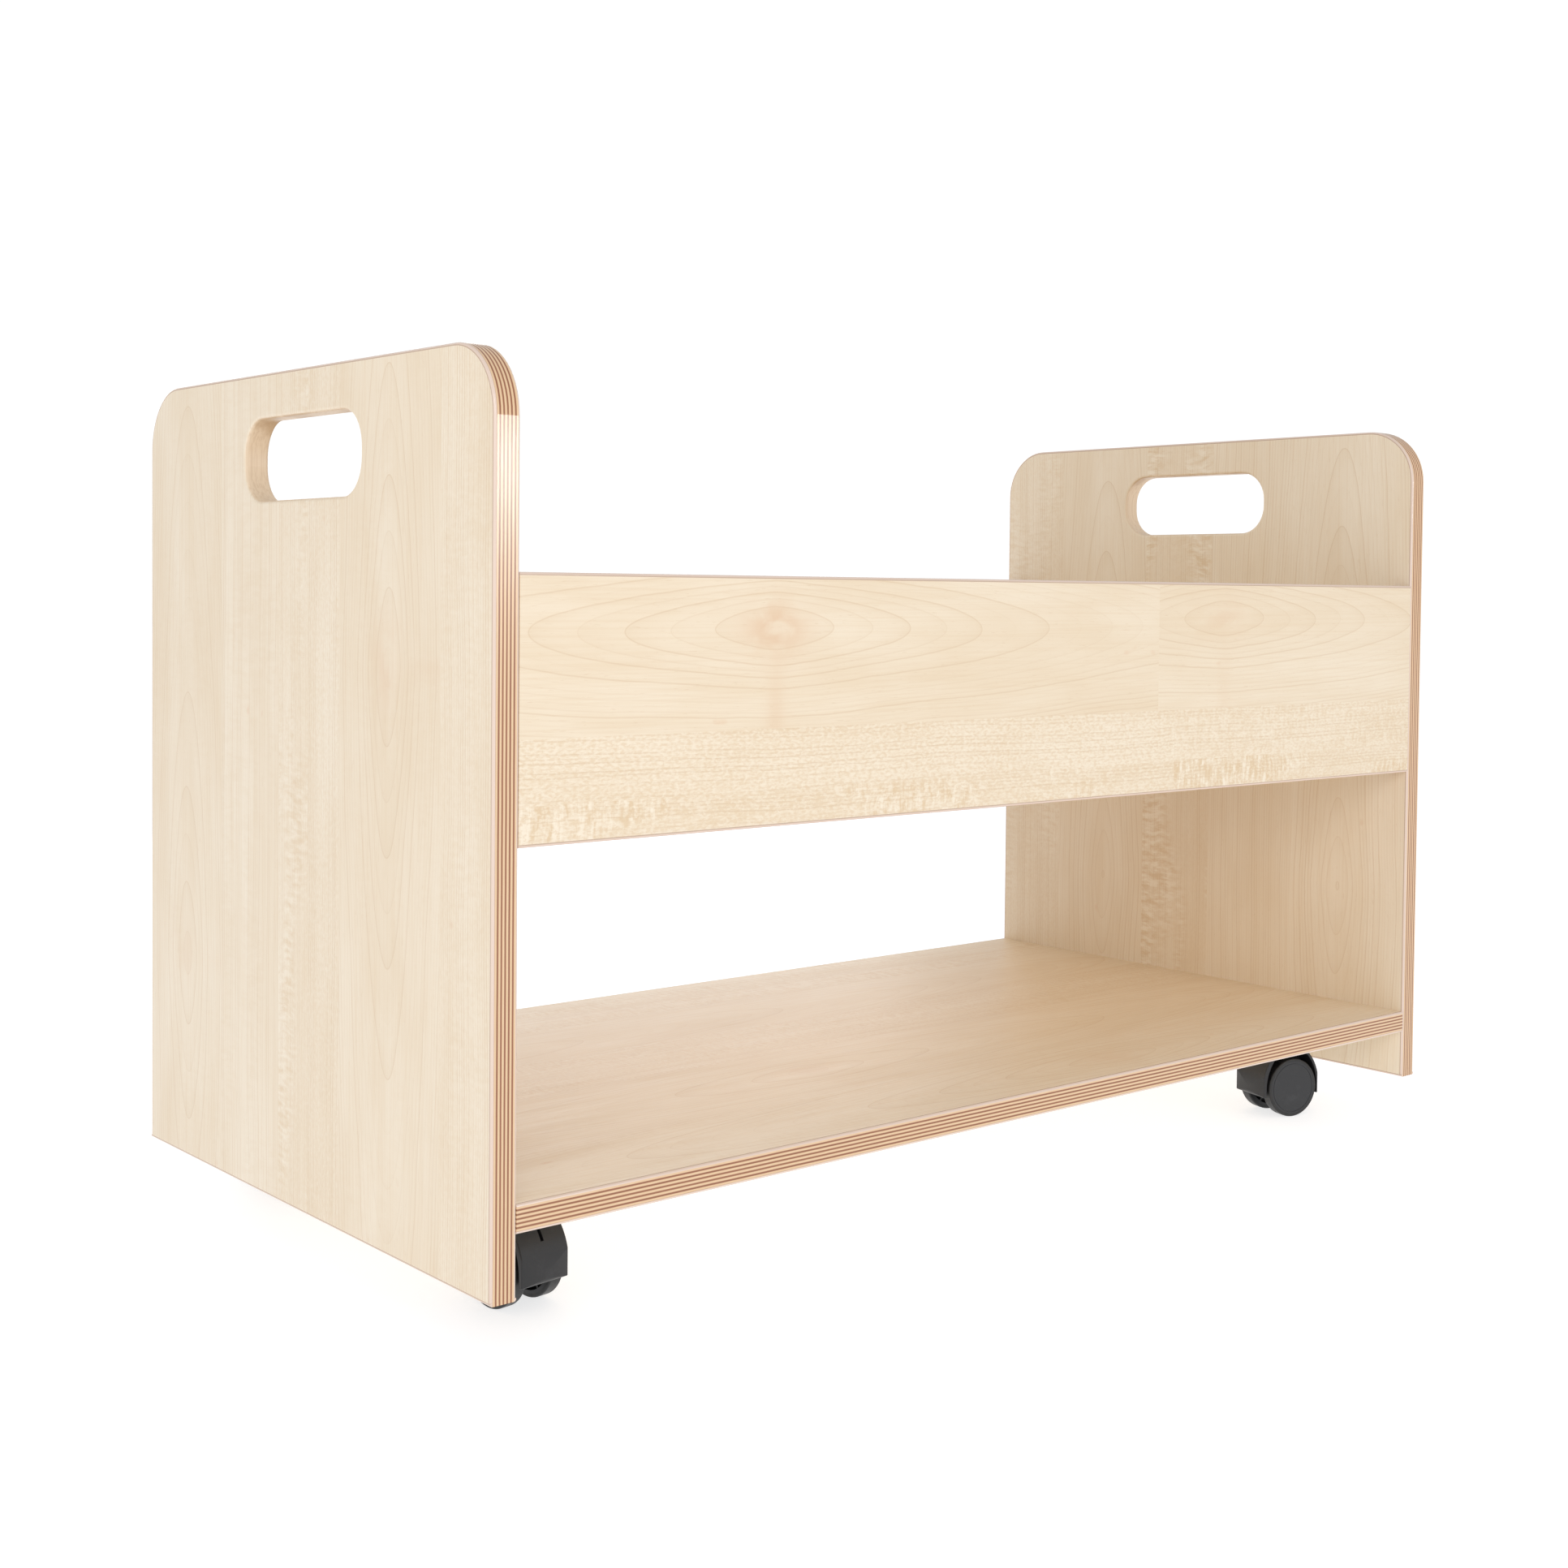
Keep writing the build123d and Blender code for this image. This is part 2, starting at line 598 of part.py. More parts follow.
for name, x, y, heading in CASTERS:
    upright = Pos(x, y, 0)
    turned = Pos(x, y, 0) * Rot(0, 0, heading)
    write(upright * caster_plate(), name + "_caster_plate")
    write([upright * solid for solid in caster_kingpin()], name + "_caster_kingpin")
    write(turned * caster_hood(), name + "_caster_hood")
    write(turned * caster_axle(), name + "_caster_axle")
    for hand_name, hand in (("left", 1), ("right", -1)):
        write(turned * wheel_disc(hand), name + "_caster_" + hand_name + "_wheel")
        write(turned * wheel_tyre(hand), name + "_caster_" + hand_name + "_tyre")
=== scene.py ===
import math
from collections import namedtuple

import bpy
from mathutils import Matrix, Vector


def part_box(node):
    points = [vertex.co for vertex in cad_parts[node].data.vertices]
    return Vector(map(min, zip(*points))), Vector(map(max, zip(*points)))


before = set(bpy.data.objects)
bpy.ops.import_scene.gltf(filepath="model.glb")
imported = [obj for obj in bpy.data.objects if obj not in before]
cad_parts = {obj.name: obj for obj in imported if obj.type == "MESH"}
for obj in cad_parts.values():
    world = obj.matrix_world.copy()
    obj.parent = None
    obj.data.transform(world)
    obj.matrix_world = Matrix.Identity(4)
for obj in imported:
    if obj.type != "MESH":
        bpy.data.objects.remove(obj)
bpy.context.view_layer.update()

# Book cart with maple-look boards, striped plywood-look edge bands and black twin-wheel casters.
# Lengths are in metres. -Y is the front, and the floor is at z = 0.

MM = 0.001
WHITE = (1.0, 1.0, 1.0, 1.0)

# ---- places taken from the frame ----
_, left_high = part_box("left_end_panel")
left_band_low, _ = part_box("left_end_panel_edge_band")
right_band_low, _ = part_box("right_end_panel_edge_band")
board_low, board_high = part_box("tray_front_board")
rear_board_low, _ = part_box("tray_rear_board")
shelf_low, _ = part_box("bottom_shelf")


def tone(red, green, blue):
    """A colour given as 0 to 255 on a screen, as linear light."""
    linear = []
    for value in (red, green, blue):
        share = value / 255
        dark = share / 12.92
        linear.append(dark if share <= 0.04045 else ((share + 0.055) / 1.055) ** 2.4)
    return (*linear, 1.0)


# ---- shader helper ----
class Shader:
    """Short ways to add and join the nodes of one material."""

    def __init__(self, name):
        self.material = bpy.data.materials.new(name)
        self.material.use_nodes = True
        self.tree = self.material.node_tree
        self.surface = self.tree.nodes["Principled BSDF"]
        coordinates = self.tree.nodes.new("ShaderNodeTexCoord")
        self.place = coordinates.outputs["Object"]
        split = self.tree.nodes.new("ShaderNodeSeparateXYZ")
        self.tree.links.new(self.place, split.inputs[0])
        self.axis = {"X": split.outputs[0], "Y": split.outputs[1], "Z": split.outputs[2]}
        normal = self.tree.nodes.new("ShaderNodeSeparateXYZ")
        self.tree.links.new(coordinates.outputs["Normal"], normal.inputs[0])
        self.normal = {"X": normal.outputs[0], "Y": normal.outputs[1], "Z": normal.outputs[2]}

    def feed(self, socket, value):
        """Put a number, a colour or another node's output on a socket."""
        if isinstance(value, bpy.types.NodeSocket):
            self.tree.links.new(value, socket)
        else:
            socket.default_value = value

    def math(self, operation, *values, clamp=False):
        node = self.tree.nodes.new("ShaderNodeMath")
        node.operation = operation
        node.use_clamp = clamp
        for socket, value in zip(node.inputs, values):
            self.feed(socket, value)
        return node.outputs[0]

    def add(self, a, b):
        return self.math("ADD", a, b)

    def times(self, a, b):
        return self.math("MULTIPLY", a, b)

    def minus(self, a, b):
        return self.math("SUBTRACT", a, b)

    def ramp(self, value, low, high, start=0.0, end=1.0):
        """Turn low..high smoothly into start..end. Noise lies mostly between 0.3 and 0.7."""
        node = self.tree.nodes.new("ShaderNodeMapRange")
        node.interpolation_type = "SMOOTHSTEP"
        for socket, number in zip(node.inputs, (value, low, high, start, end)):
            self.feed(socket, number)
        return node.outputs[0]

    def vector(self, x, y, z):
        node = self.tree.nodes.new("ShaderNodeCombineXYZ")
        for socket, value in zip(node.inputs, (x, y, z)):
            self.feed(socket, value)
        return node.outputs[0]

    def noise(self, vector, scale=1.0, detail=2.0, roughness=0.5, distortion=0.0):
        node = self.tree.nodes.new("ShaderNodeTexNoise")
        self.feed(node.inputs["Vector"], vector)
        node.inputs["Scale"].default_value = scale
        node.inputs["Detail"].default_value = detail
        node.inputs["Roughness"].default_value = roughness
        node.inputs["Distortion"].default_value = distortion
        return node.outputs[0]

    def stretched(self, scales, offset=0.0, **options):
        """Noise stretched by its own scale, in waves per metre, on each of two directions."""
        (first, first_scale), (second, second_scale) = scales
        place = self.vector(self.times(first, first_scale), self.times(second, second_scale), offset)
        return self.noise(place, **options)

    def chance(self, value):
        """A random share for each whole number."""
        node = self.tree.nodes.new("ShaderNodeTexWhiteNoise")
        node.noise_dimensions = "1D"
        self.feed(node.inputs["W"], value)
        return node.outputs["Value"]

    def colour(self, share, first, second, way="MIX"):
        node = self.tree.nodes.new("ShaderNodeMix")
        node.data_type = "RGBA"
        node.blend_type = way
        self.feed(node.inputs[0], share)
        self.feed(node.inputs[6], first)
        self.feed(node.inputs[7], second)
        return node.outputs[2]

    def bump(self, height, depth, strength=1.0):
        node = self.tree.nodes.new("ShaderNodeBump")
        node.inputs["Strength"].default_value = strength
        node.inputs["Distance"].default_value = depth
        self.feed(node.inputs["Height"], height)
        self.tree.links.new(node.outputs[0], self.surface.inputs["Normal"])

    def finish(self, colour, roughness, **constants):
        """Set the shader: constants are its other sockets by name, with _ for a space."""
        self.feed(self.surface.inputs["Base Color"], colour)
        self.feed(self.surface.inputs["Roughness"], roughness)
        for name, value in constants.items():
            self.surface.inputs[name.replace("_", " ")].default_value = value
        return self.material


# ---- maple decor ----
# One printed stave: its span across and along the grain, how light it is, how much curl and fine
# mottle it has, and the heart of its flat-sawn figure, which is flamed red by blush. Depth is how
# far the heart lies under the face.
Stave = namedtuple("Stave", "low high start stop light curl mottle heart_along heart_across blush depth")

FAR = 9.0                    # past the end of any board
STRAIGHT = (0.1, 0.9)        # a heart this far off leaves straight grain


def stave(low, high, light, curl=0.0, mottle=0.0, heart=STRAIGHT, blush=0.0, depth=0.03, along=(-FAR, FAR)):
    return Stave(low, high, *along, light, curl, mottle, *heart, blush, depth)


MAPLE_LIGHT = tone(245, 233, 214)
MAPLE_DEEP = tone(232, 212, 183)
RING_LINE = tone(214, 186, 150)
CURL_TAN = tone(226, 201, 166)
CURL_LIGHT = tone(249, 239, 222)
BLUSH_RED = tone(228, 196, 164)
AGED = (1.0, 0.937, 0.83, 1.0)    # what a fully warm board keeps of red, green and blue
RAW_EDGE = tone(234, 212, 184)
RAW_EDGE_DARK = tone(196, 162, 122)

RING_WIDTH = 2.6 * MM
RING_LINE_CORE = 0.1 * MM
RING_LINE_HALF = 0.75 * MM
FIGURE_SLOPE = 0.075         # how fast the growth rings close away from a heart
FLATTEST = 0.03              # the least slope of the rings that a line's width allows for
HEART_ROUND = 10 * MM
WANDER = 9 * MM              # the rings' slow swing
SHAKE = 1.1 * MM             # and their fine one
BLUSH_LENGTH = 22 * MM
BLUSH_WIDTH = 15 * MM
SMEAR_WIDTH = 7 * MM
SMEAR_REACH = 55 * MM
GLOW_FALL = -0.8
PORE_DEPTH = 0.05 * MM

# how fine each pattern is, in waves per metre along the grain and across it
WANDER_SCALE = (6, 14)
SHAKE_SCALE = (50, 70)
DRIFT_SCALE = (4, 22)
CLOUD_SCALE = (16, 40)
FIBRE_SCALE = (9, 620)
FLECK_SCALE = (130, 1500)
KNOT_SCALE = (42, 75)
SWAY_SCALE = (12, 40)
RIPPLE_SCALE = (270, 75)
PATCH_SCALE = (7, 30)
SHIMMER_SCALE = (300, 620)
SWIRL_SCALE = (38, 60)
CHIP_SCALE = (700, 420)

# how strongly each pattern colours the wood
FIBRE_SHARE = 0.2
RING_SHARE = 0.36
LATE_SHARE = 0.16
FLECK_SHARE = 0.3
KNOT_SHARE = 0.5
CHIP_SHARE = 0.3
# how dark the painted shade at the top of the handle slot walls gets
SLOT_TOP_SHADE_SHARE = 0.65
RIPPLE_SWAY = 2.2
OFFSET_STEP = 3.7            # moves the noise on, so that no two staves are alike


class Maple(Shader):
    """Printed maple decor in staves, with its grain along one axis."""

    def __init__(self, name, along, across, staves):
        super().__init__(name)
        self.u, self.v = self.axis[along], self.axis[across]
        self.sums = {field: 0.0 for field in ("light", "curl", "mottle", "blush", "depth")}
        heart_along, heart_across, self.offset = 0.0, 0.0, 0.0
        for number, piece in enumerate(staves, 1):
            inside = self.inside(piece)
            for field in self.sums:
                value = getattr(piece, field)
                if value:
                    self.sums[field] = self.math("MULTIPLY_ADD", inside, value, self.sums[field])
            heart_along = self.math("MULTIPLY_ADD", inside, piece.heart_along, heart_along)
            heart_across = self.math("MULTIPLY_ADD", inside, piece.heart_across, heart_across)
            self.offset = self.math("MULTIPLY_ADD", inside, OFFSET_STEP * number, self.offset)
        self.from_heart = self.minus(self.u, heart_along)
        wander = self.times(self.minus(self.grain(WANDER_SCALE, detail=1), 0.5), WANDER)
        shake = self.times(self.minus(self.grain(SHAKE_SCALE, detail=2), 0.5), SHAKE)
        self.beside = self.add(self.add(self.minus(self.v, heart_across), wander), shake)
        self.fibre = self.grain(FIBRE_SCALE, detail=3, roughness=0.6)

    def inside(self, piece):
        """1 on this stave, 0 elsewhere."""
        u, v = self.u, self.v
        inside = self.times(self.math("GREATER_THAN", v, piece.low), self.math("LESS_THAN", v, piece.high))
        if piece.start == -FAR and piece.stop == FAR:
            return inside
        ends = self.times(self.math("GREATER_THAN", u, piece.start), self.math("LESS_THAN", u, piece.stop))
        return self.times(inside, ends)

    def grain(self, scale, **options):
        """Noise that follows the grain, different on each stave."""
        return self.stretched(((self.u, scale[0]), (self.v, scale[1])), self.offset, **options)

    def hypotenuse(self, a, b):
        return self.math("SQRT", self.math("MULTIPLY_ADD", a, a, self.times(b, b)))

    def rings(self):
        """Growth rings: a leaning cone of rings, cut by the face. Gives lines and late-wood shade."""
        from_heart = self.from_heart
        reach = self.math("SQRT", self.math("MULTIPLY_ADD", from_heart, from_heart, HEART_ROUND ** 2))
        height = self.math("MULTIPLY_ADD", reach, FIGURE_SLOPE, self.sums["depth"])
        radius = self.hypotenuse(self.beside, height)
        phase = self.math("DIVIDE", radius, RING_WIDTH)
        part = self.math("FRACT", phase)
        # the slope of the radius over the face keeps every ring line equally thin
        climb = self.times(self.times(height, FIGURE_SLOPE), self.math("DIVIDE", from_heart, reach))
        slope = self.math("DIVIDE", self.hypotenuse(self.beside, climb), radius)
        slope = self.math("MAXIMUM", slope, FLATTEST)
        nearest = self.math("MINIMUM", part, self.minus(1.0, part))
        gap = self.times(nearest, self.math("DIVIDE", RING_WIDTH, slope))
        strength = self.ramp(self.chance(self.math("ROUND", phase)), 0.1, 1.0, 0.15, 1.0)
        line = self.times(self.ramp(gap, RING_LINE_CORE, RING_LINE_HALF, 1.0, 0.0), strength)
        late = self.times(self.math("POWER", part, 3.0), strength)
        return line, late

    def wood(self):
        """Tone of the wood: broad drifts and clouds, fibres, rings, flecks and pin knots."""
        line, late = self.rings()
        drift = self.grain(DRIFT_SCALE, detail=3)
        cloud = self.grain(CLOUD_SCALE, detail=3)
        fleck = self.grain(FLECK_SCALE, detail=1)
        knot = self.grain(KNOT_SCALE, detail=1)
        level = self.add(self.ramp(drift, 0.25, 0.75, 0.34, 0.76), self.sums["light"])
        level = self.add(level, self.ramp(cloud, 0.3, 0.7, -0.09, 0.09))
        level = self.math("MULTIPLY", level, 1.0, clamp=True)
        colour = self.colour(level, MAPLE_DEEP, MAPLE_LIGHT)
        colour = self.colour(self.ramp(self.fibre, 0.42, 0.7, 0.0, FIBRE_SHARE), colour, CURL_TAN)
        colour = self.colour(self.times(line, RING_SHARE), colour, RING_LINE)
        colour = self.colour(self.times(late, LATE_SHARE), colour, RING_LINE)
        colour = self.colour(self.ramp(fleck, 0.66, 0.78, 0.0, FLECK_SHARE), colour, RING_LINE)
        return self.colour(self.ramp(knot, 0.76, 0.86, 0.0, KNOT_SHARE), colour, BLUSH_RED)

    def curl(self, colour):
        """Short ripples square to the grain, which come in patches."""
        sway = self.times(self.grain(SWAY_SCALE, detail=1), RIPPLE_SWAY)
        swayed = self.math("MULTIPLY_ADD", self.u, RIPPLE_SCALE[0], sway)
        place = self.vector(swayed, self.times(self.v, RIPPLE_SCALE[1]), self.offset)
        ripple = self.noise(place, detail=2, roughness=0.55)
        patch = self.ramp(self.grain(PATCH_SCALE, detail=1), 0.38, 0.6)
        curl = self.times(patch, self.sums["curl"])
        colour = self.colour(self.times(curl, self.ramp(ripple, 0.5, 0.66)), colour, CURL_TAN)
        return self.colour(self.times(curl, self.ramp(ripple, 0.5, 0.34)), colour, CURL_LIGHT)

    def mottle(self, colour):
        """A fine broken shimmer."""
        shimmer = self.grain(SHIMMER_SCALE, detail=2, distortion=0.4)
        share = self.sums["mottle"]
        colour = self.colour(self.times(self.ramp(shimmer, 0.48, 0.64), share), colour, CURL_TAN)
        return self.colour(self.times(self.ramp(shimmer, 0.48, 0.36), share), colour, CURL_LIGHT)

    def flame(self, colour):
        """Soft red flame round a heart, with a smear to one side of it."""
        swirl = self.grain(SWIRL_SCALE, detail=3, distortion=0.4)
        far_along = self.math("DIVIDE", self.from_heart, BLUSH_LENGTH)
        far_across = self.math("DIVIDE", self.beside, BLUSH_WIDTH)
        far = self.math("MULTIPLY_ADD", far_along, far_along, self.times(far_across, far_across))
        glow = self.math("EXPONENT", self.times(far, GLOW_FALL))
        smear_far = self.math("DIVIDE", self.from_heart, SMEAR_WIDTH)
        smear = self.math("EXPONENT", self.times(self.times(smear_far, smear_far), GLOW_FALL))
        smear = self.times(smear, self.ramp(self.beside, -SMEAR_REACH, 0.0, 0.35, 0.0))
        flame = self.add(self.times(glow, self.ramp(swirl, 0.35, 0.6, 0.25, 1.0)), smear)
        return self.colour(self.times(flame, self.sums["blush"]), colour, BLUSH_RED)

    def slot_wall(self, colour, axis, span):
        """Bare board where a surface turns away from the axis, with patchy painted shade over the span of
        heights just below the slot's rounded top rim.
        """
        wall = self.ramp(self.math("ABSOLUTE", self.normal[axis]), 0.55, 0.93, 1.0, 0.0)
        scales = ((self.axis["X"], CHIP_SCALE[0]), (self.axis["Y"], CHIP_SCALE[1]))
        chip = self.stretched(scales, self.axis["Z"], detail=3)
        patchy = self.noise(self.place, scale=45, detail=3)
        # painted shade on the slot walls just below their top rim, broken into patches
        painted_shade = self.times(self.ramp(self.axis["Z"], *span), self.ramp(patchy, 0.4, 0.62))
        bare_with_painted_light = self.colour(self.ramp(chip, 0.4, 0.7, 0.0, CHIP_SHARE), RAW_EDGE, RAW_EDGE_DARK)
        bare_with_painted_light = self.colour(self.times(painted_shade, SLOT_TOP_SHADE_SHARE), bare_with_painted_light, RAW_EDGE_DARK)
        return self.colour(wall, colour, bare_with_painted_light)


def decor(name, along, across, staves, warm, raw_axis=None, slot_shade_span=None):
    """The material of one board. raw_axis says where a cut shows bare board; the last argument gives the
    heights where the slot walls get painted shade.
    """
    s = Maple(name, along, across, staves)
    colour = s.flame(s.mottle(s.curl(s.wood())))
    colour = s.colour(warm, colour, AGED, "MULTIPLY")
    if raw_axis:
        colour = s.slot_wall(colour, raw_axis, slot_shade_span)
    s.bump(s.add(s.times(s.fibre, 0.5), s.noise(s.place, scale=1400, detail=1)), PORE_DEPTH, 0.35)
    return s.finish(colour, s.ramp(s.fibre, 0.3, 0.7, 0.36, 0.46), IOR=1.48)


def boundary(low, high, share):
    return low + (high - low) * share


# The staves of each board, from its low side to its high side. The end panels' grain runs up.
LEFT_STAVES = [
    stave(-FAR, -0.181, 0.03, curl=0.1, mottle=0.12),
    stave(-0.181, -0.055, 0.0, curl=0.05, heart=(0.40, -0.118), blush=0.45, depth=0.03),
    stave(-0.055, -0.012, 0.08, curl=0.12, mottle=0.2, heart=(0.1, -0.7)),
    stave(-0.012, 0.03, 0.08, curl=0.42, mottle=0.15),
    stave(0.03, 0.119, 0.16, curl=0.1, heart=(0.1, -0.8)),
    stave(0.119, FAR, 0.05, curl=0.05, heart=(0.18, 0.175), blush=0.2, depth=0.035),
]

RIGHT_STAVES = [
    stave(-FAR, -0.025, 0.22, heart=(0.19, -0.17), depth=0.02),
    stave(-0.025, 0.055, 0.1, curl=0.7, mottle=0.1),
    stave(0.055, 0.164, 0.2, heart=(0.17, 0.105), depth=0.02),
    stave(0.164, FAR, 0.16, curl=0.3, mottle=0.15),
]

split_height = boundary(board_low.z, board_high.z, 0.39)
curl_height = boundary(board_low.z, split_height, 0.36)
FRONT_STAVES = [
    stave(split_height, FAR, 0.02, heart=(-0.262, 0.425), blush=0.95, depth=0.03, along=(-FAR, 0.12)),
    stave(split_height, FAR, 0.0, heart=(0.2, 0.43), blush=0.35, depth=0.03, along=(0.12, FAR)),
    stave(curl_height, split_height, 0.14, curl=0.1, mottle=0.42, along=(-FAR, 0.14)),
    stave(curl_height, split_height, 0.06, curl=0.25, mottle=0.36, along=(0.14, FAR)),
    stave(-FAR, curl_height, 0.14, curl=0.75, mottle=0.4, along=(-FAR, 0.14)),
    stave(-FAR, curl_height, 0.06, curl=0.8, mottle=0.35, along=(0.14, FAR)),
]

REAR_STAVES = [
    stave(-FAR, 0.37, 0.1, heart=(0.16, 0.335), blush=0.4, depth=0.03),
    stave(0.37, FAR, 0.12, curl=0.5, mottle=0.4),
]

SHELF_STAVES = [
    stave(-FAR, -0.15, 0.25, curl=0.1, heart=(0.12, -0.2), blush=0.3, depth=0.03),
    stave(-0.15, -0.03, 0.2, heart=(-0.1, -0.09), blush=0.3, depth=0.04),
    stave(-0.03, 0.06, 0.25, curl=0.3, mottle=0.25),
    stave(0.06, 0.15, 0.15, heart=(-0.3, 0.1), blush=0.3, depth=0.04),
    stave(0.15, FAR, 0.2, curl=0.4, mottle=0.2),
]

FLOOR_STAVES = [
    stave(-FAR, -0.12, 0.08, curl=0.3, mottle=0.3),
    stave(-0.12, 0.02, 0.0, heart=(0.22, -0.05), blush=0.3, depth=0.03),
    stave(0.02, 0.13, 0.1, curl=0.2, heart=(-0.25, 0.08), depth=0.03),
    stave(0.13, FAR, 0.04, curl=0.4, mottle=0.25),
]


# ---- striped edge bands ----
BAND_DARK = tone(148, 92, 65)
BAND_LIGHT = tone(237, 204, 165)
# pale band core over the roundings, lightened partly as a painted highlight
BAND_CORE_AND_HIGHLIGHT = tone(233, 211, 196)
BAND_DARK_PALER = tone(168, 112, 81)
BAND_LIGHT_FIBRE = tone(222, 182, 140)
JOINT_LINE = tone(188, 160, 134)
STRIPE_PITCH = 2.65 * MM
FIRST_STRIPE = 1.2 * MM
BOARD_THICKNESS = 18 * MM
BARE_ROUNDING = 1.7 * MM
GLUE_WIDTH = 0.16 * MM
STRIPE_SHAKE = 0.25 * MM
STRIPE_DEPTH = 0.004 * MM


def edge_band(name, across, low, along):
    """Plastic band printed with plywood stripes, which the rounding at both faces cuts away. This shows a
    pale core whose paleness is partly a painted highlight on the rounding.
    """
    s = Shader(name)
    run, over = s.axis[along], s.axis[across]
    shake = s.stretched(((run, 30), (over, 60)), detail=2)
    t = s.add(s.minus(over, low), s.times(s.minus(shake, 0.5), STRIPE_SHAKE))
    stripe_count = s.math("DIVIDE", s.minus(t, FIRST_STRIPE), STRIPE_PITCH)
    turn = s.times(stripe_count, 2 * math.pi)
    wave = s.math("MULTIPLY_ADD", s.math("COSINE", turn), 0.5, 0.5)
    fibre = s.stretched(((run, 60), (over, 2600)), detail=2)
    stripe = s.ramp(wave, 0.28, 0.85)
    layer = s.chance(s.math("ROUND", stripe_count))
    dark = s.colour(s.times(layer, 0.35), BAND_DARK, BAND_DARK_PALER)
    light = s.colour(s.ramp(fibre, 0.35, 0.7, 0.0, 0.35), BAND_LIGHT, BAND_LIGHT_FIBRE)
    colour = s.colour(s.times(stripe, 0.95), light, dark)
    near = s.math("MINIMUM", s.minus(over, low), s.minus(low + BOARD_THICKNESS, over))
    # the rounding at each face: bare pale core, partly a painted highlight
    bare_with_painted_light = s.ramp(near, BARE_ROUNDING - 0.15 * MM, BARE_ROUNDING + 0.1 * MM, 1.0, 0.0)
    colour = s.colour(bare_with_painted_light, colour, BAND_CORE_AND_HIGHLIGHT)
    glue = s.ramp(near, 0.0, GLUE_WIDTH, 0.75, 0.0)
    colour = s.colour(glue, colour, JOINT_LINE)
    s.bump(s.times(stripe, -1.0), STRIPE_DEPTH, 0.15)
    return s.finish(colour, s.ramp(fibre, 0.3, 0.7, 0.17, 0.2), IOR=1.5)


# ---- plastics, rubber and metal ----
DRAWING_SCALE = 500          # waves per metre of the drawing lines in zinc-plated steel
BEECH_FIBRE_SCALE = 1800


def black_plastic(name, colour, worn, grain, roughness):
    """Moulded plastic with a fine spark-eroded grain and faint handling marks."""
    s = Shader(name)
    texture = s.noise(s.place, scale=grain, detail=2)
    marks = s.noise(s.place, scale=90, detail=4, roughness=0.7)
    scuff = s.ramp(marks, 0.52, 0.75)
    base = s.colour(s.times(scuff, 0.5), colour, worn)
    s.bump(texture, 0.06 * MM, 0.5)
    return s.finish(base, s.ramp(marks, 0.3, 0.7, roughness - 0.05, roughness + 0.07), IOR=1.5)


def tread(name):
    """Soft tyre: duller than the wheel, dusty where it rolls."""
    s = Shader(name)
    dust = s.ramp(s.noise(s.place, scale=160, detail=4, roughness=0.65), 0.45, 0.75)
    base = s.colour(s.times(dust, 0.4), tone(30, 30, 31), tone(66, 64, 62))
    s.bump(s.noise(s.place, scale=1600, detail=2), 0.08 * MM, 0.5)
    return s.finish(base, s.ramp(dust, 0.0, 1.0, 0.42, 0.62), IOR=1.5)


def zinc(name):
    """Zinc-plated steel with faint crystalline cloud and drawing lines."""
    s = Shader(name)
    cloud = s.noise(s.place, scale=220, detail=3)
    scales = ((s.axis["X"], DRAWING_SCALE), (s.axis["Y"], DRAWING_SCALE))
    lines = s.stretched(scales, s.times(s.axis["Z"], 90))
    base = s.colour(s.ramp(cloud, 0.35, 0.7), tone(176, 177, 176), tone(206, 206, 202))
    s.bump(lines, 0.03 * MM, 0.3)
    return s.finish(base, s.ramp(cloud, 0.3, 0.7, 0.26, 0.4), Metallic=1.0)


def beech(name):
    """Unfinished dowel wood, with fibres along X and short rays."""
    s = Shader(name)
    scales = ((s.axis["X"], 60), (s.axis["Y"], BEECH_FIBRE_SCALE))
    fibre = s.stretched(scales, s.times(s.axis["Z"], BEECH_FIBRE_SCALE))
    base = s.colour(s.ramp(fibre, 0.35, 0.7), tone(222, 190, 150), tone(190, 150, 108))
    s.bump(fibre, 0.1 * MM, 0.5)
    return s.finish(base, 0.62)


def cap_plastic(name):
    """Beige cover caps, with a fine matt grain."""
    s = Shader(name)
    grain = s.noise(s.place, scale=1800, detail=2)
    base = s.colour(s.ramp(grain, 0.3, 0.7), tone(226, 206, 174), tone(234, 216, 186))
    s.bump(grain, 0.04 * MM, 0.4)
    return s.finish(base, 0.48)


# ---- give every node its material ----
def dress(material, *names):
    for name in names:
        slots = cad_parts[name].data.materials
        slots.clear()
        slots.append(material)


# heights between which the slot walls get painted shade under their top rim
slot_shade_span = (left_high.z - 0.05, left_high.z - 0.027)
dress(decor("maple_left_panel", "Z", "Y", LEFT_STAVES, 0.08, "X", slot_shade_span), "left_end_panel")
dress(decor("maple_right_panel", "Z", "Y", RIGHT_STAVES, 0.3, "X", slot_shade_span), "right_end_panel")
dress(decor("maple_front_board", "X", "Z", FRONT_STAVES, 0.35), "tray_front_board")
dress(decor("maple_rear_board", "X", "Z", REAR_STAVES, 0.35), "tray_rear_board")
dress(decor("maple_shelf", "X", "Y", SHELF_STAVES, 0.45), "bottom_shelf")
dress(decor("maple_tray_floor", "X", "Y", FLOOR_STAVES, 0.9), "tray_floor")

for end, low in (("left", left_band_low.x), ("right", right_band_low.x)):
    dress(edge_band("band_" + end + "_panel", "X", low, "Z"), end + "_end_panel_edge_band")
    dress(edge_band("band_" + end + "_foot", "X", low, "Y"), end + "_end_panel_foot_band")
shelf_band = edge_band("band_shelf", "Z", shelf_low.z, "X")
dress(shelf_band, "bottom_shelf_front_band", "bottom_shelf_rear_band")
for face, low in (("front", board_low.y), ("rear", rear_board_low.y)):
    band = edge_band("band_" + face + "_board", "Y", low, "X")
    dress(band, "tray_" + face + "_board_top_band", "tray_" + face + "_board_lower_band")

